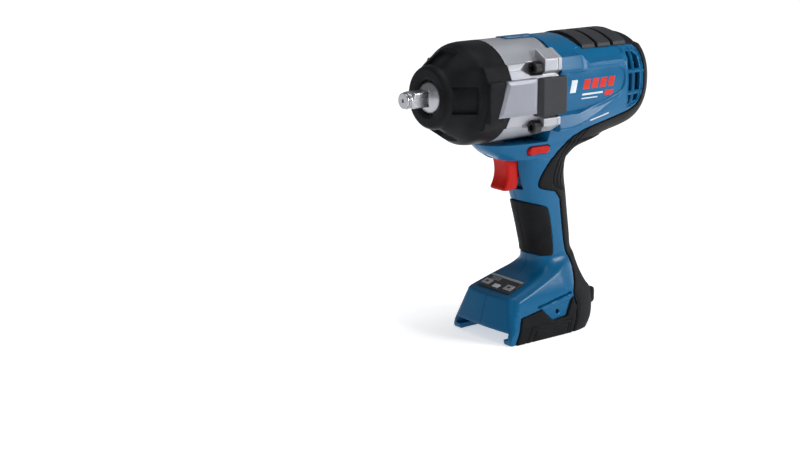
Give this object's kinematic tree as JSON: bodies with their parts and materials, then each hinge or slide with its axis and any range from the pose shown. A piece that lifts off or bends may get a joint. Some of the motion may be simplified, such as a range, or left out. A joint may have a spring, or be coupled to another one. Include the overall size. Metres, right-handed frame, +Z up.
{
  "type": "impact wrench",
  "caption": "Cordless impact wrench with a square drive, pistol grip, trigger, direction selector and a battery foot that stands on its own.",
  "frame": {"origin": "middle of the tool's footprint box, on the underside of the battery foot", "axes": "+Z up along the grip, the square drive points to -X, +Y is the side away from the tool's left"},
  "size_m": [0.2434, 0.092, 0.2497],
  "materials": {
    "blue_plastic": "satin textured nylon",
    "black_rubber": "matt soft overmould",
    "grey_rubber": "matt",
    "cast_aluminium": "fine blasted casting",
    "steel": "ground",
    "dark_steel": "black oxide",
    "red_plastic": "satin",
    "black_plastic": "satin",
    "grey_plastic": "satin",
    "copper": "enamelled copper wire",
    "bronze": "sintered bronze",
    "board_green": "solder mask",
    "clear_lens": "clear moulding"
  },
  "bodies": {
    "housing": {"housing_left": "blue_plastic", "housing_right": "blue_plastic", "rear_rubber_left": "black_rubber", "rear_rubber_right": "black_rubber", "grip_rubber_left": "black_rubber", "grip_rubber_right": "black_rubber", "foot_rubber_left": "black_rubber", "foot_rubber_right": "black_rubber", "nose_boot": "black_rubber", "hammer_case": "cast_aluminium", "gearbox_plate": "cast_aluminium", "side_plate_left": "cast_aluminium", "side_plate_right": "cast_aluminium", "side_pad_left": "grey_rubber", "side_pad_right": "grey_rubber", "case_screw_upper_left": "dark_steel", "case_screw_upper_right": "dark_steel", "case_screw_lower_left": "dark_steel", "case_screw_lower_right": "dark_steel", "housing_screw_1": "dark_steel", "housing_screw_2": "dark_steel", "housing_screw_3": "dark_steel", "housing_screw_4": "dark_steel", "ring_gear": "dark_steel", "stator_core": "dark_steel", "spindle_bearing": "steel", "front_bearing": "steel", "rear_bearing": "steel", "anvil_bush": "bronze", "switch_module": "black_plastic", "control_panel": "black_plastic", "control_module": "black_plastic", "terminal_block": "black_plastic", "winding_front": "copper", "winding_rear": "copper", "sensor_board": "board_green", "work_light_lens": "clear_lens"},
    "spindle": {"cam_spindle": "steel", "cam_ball_upper": "steel", "cam_ball_lower": "steel", "spring_washer": "steel", "hammer_spring": "dark_steel", "planet_pin_1": "steel", "planet_pin_2": "steel", "planet_pin_3": "steel"},
    "hammer": {"hammer": "steel"},
    "anvil": {"anvil": "steel", "friction_ring": "steel"},
    "rotor": {"rotor_shaft": "steel", "rotor_core": "dark_steel", "fan": "black_plastic"},
    "planet_1": {"planet_gear_1": "steel"},
    "planet_2": {"planet_gear_2": "steel"},
    "planet_3": {"planet_gear_3": "steel"},
    "trigger": {"trigger": "red_plastic"},
    "direction_selector": {"direction_selector": "red_plastic"},
    "mode_button": {"mode_button": "grey_plastic"},
    "light_button": {"light_button": "grey_plastic"},
    "speed_button": {"speed_button": "grey_plastic"}
  },
  "joints": [
    {"name": "spindle_spin", "type": "hinge", "parent": "housing", "child": "spindle", "pos_m": [0, 0, 0.2072], "axis": [1, 0, 0], "continuous": true},
    {"name": "anvil_spin", "type": "hinge", "parent": "housing", "child": "anvil", "pos_m": [0, 0, 0.2072], "axis": [1, 0, 0], "continuous": true},
    {"name": "rotor_spin", "type": "hinge", "parent": "housing", "child": "rotor", "pos_m": [0, 0, 0.2072], "axis": [1, 0, 0], "continuous": true},
    {"name": "hammer_slide", "type": "slide", "parent": "spindle", "child": "hammer", "axis": [1, 0, 0], "range_m": [0, 0.0085], "stiffness_N_per_m": 8000, "springref_m": -0.004, "deforming": ["hammer_spring"]},
    {"name": "planet_spin_1", "type": "hinge", "parent": "spindle", "child": "planet_1", "pos_m": [0.00075, 0, 0.22137], "axis": [1, 0, 0], "continuous": true},
    {"name": "planet_spin_2", "type": "hinge", "parent": "spindle", "child": "planet_2", "pos_m": [0.00075, -0.01228, 0.20011], "axis": [1, 0, 0], "continuous": true},
    {"name": "planet_spin_3", "type": "hinge", "parent": "spindle", "child": "planet_3", "pos_m": [0.00075, 0.01228, 0.20011], "axis": [1, 0, 0], "continuous": true},
    {"name": "trigger_pull", "type": "slide", "parent": "housing", "child": "trigger", "axis": [1, 0, 0], "range_m": [0, 0.007], "stiffness_N_per_m": 800, "springref_m": -0.004},
    {"name": "direction_shift", "type": "slide", "parent": "housing", "child": "direction_selector", "axis": [0, 1, 0], "range_m": [-0.0025, 0.0025]},
    {"name": "mode_press", "type": "slide", "parent": "housing", "child": "mode_button", "axis": [0.3338, 0, -0.9426], "range_m": [0, 0.0006], "stiffness_N_per_m": 300, "springref_m": -0.0005},
    {"name": "light_press", "type": "slide", "parent": "housing", "child": "light_button", "axis": [0.3338, 0, -0.9426], "range_m": [0, 0.0006], "stiffness_N_per_m": 300, "springref_m": -0.0005},
    {"name": "speed_press", "type": "slide", "parent": "housing", "child": "speed_button", "axis": [0.3338, 0, -0.9426], "range_m": [0, 0.0006], "stiffness_N_per_m": 300, "springref_m": -0.0005}
  ],
  "couplings": [
    {"joint": "anvil_spin", "follows": "spindle_spin", "ratio": 1},
    {"joint": "rotor_spin", "follows": "spindle_spin", "ratio": 6},
    {"joint": "planet_spin_1", "follows": "spindle_spin", "ratio": -2.5},
    {"joint": "planet_spin_2", "follows": "spindle_spin", "ratio": -2.5},
    {"joint": "planet_spin_3", "follows": "spindle_spin", "ratio": -2.5}
  ]
}
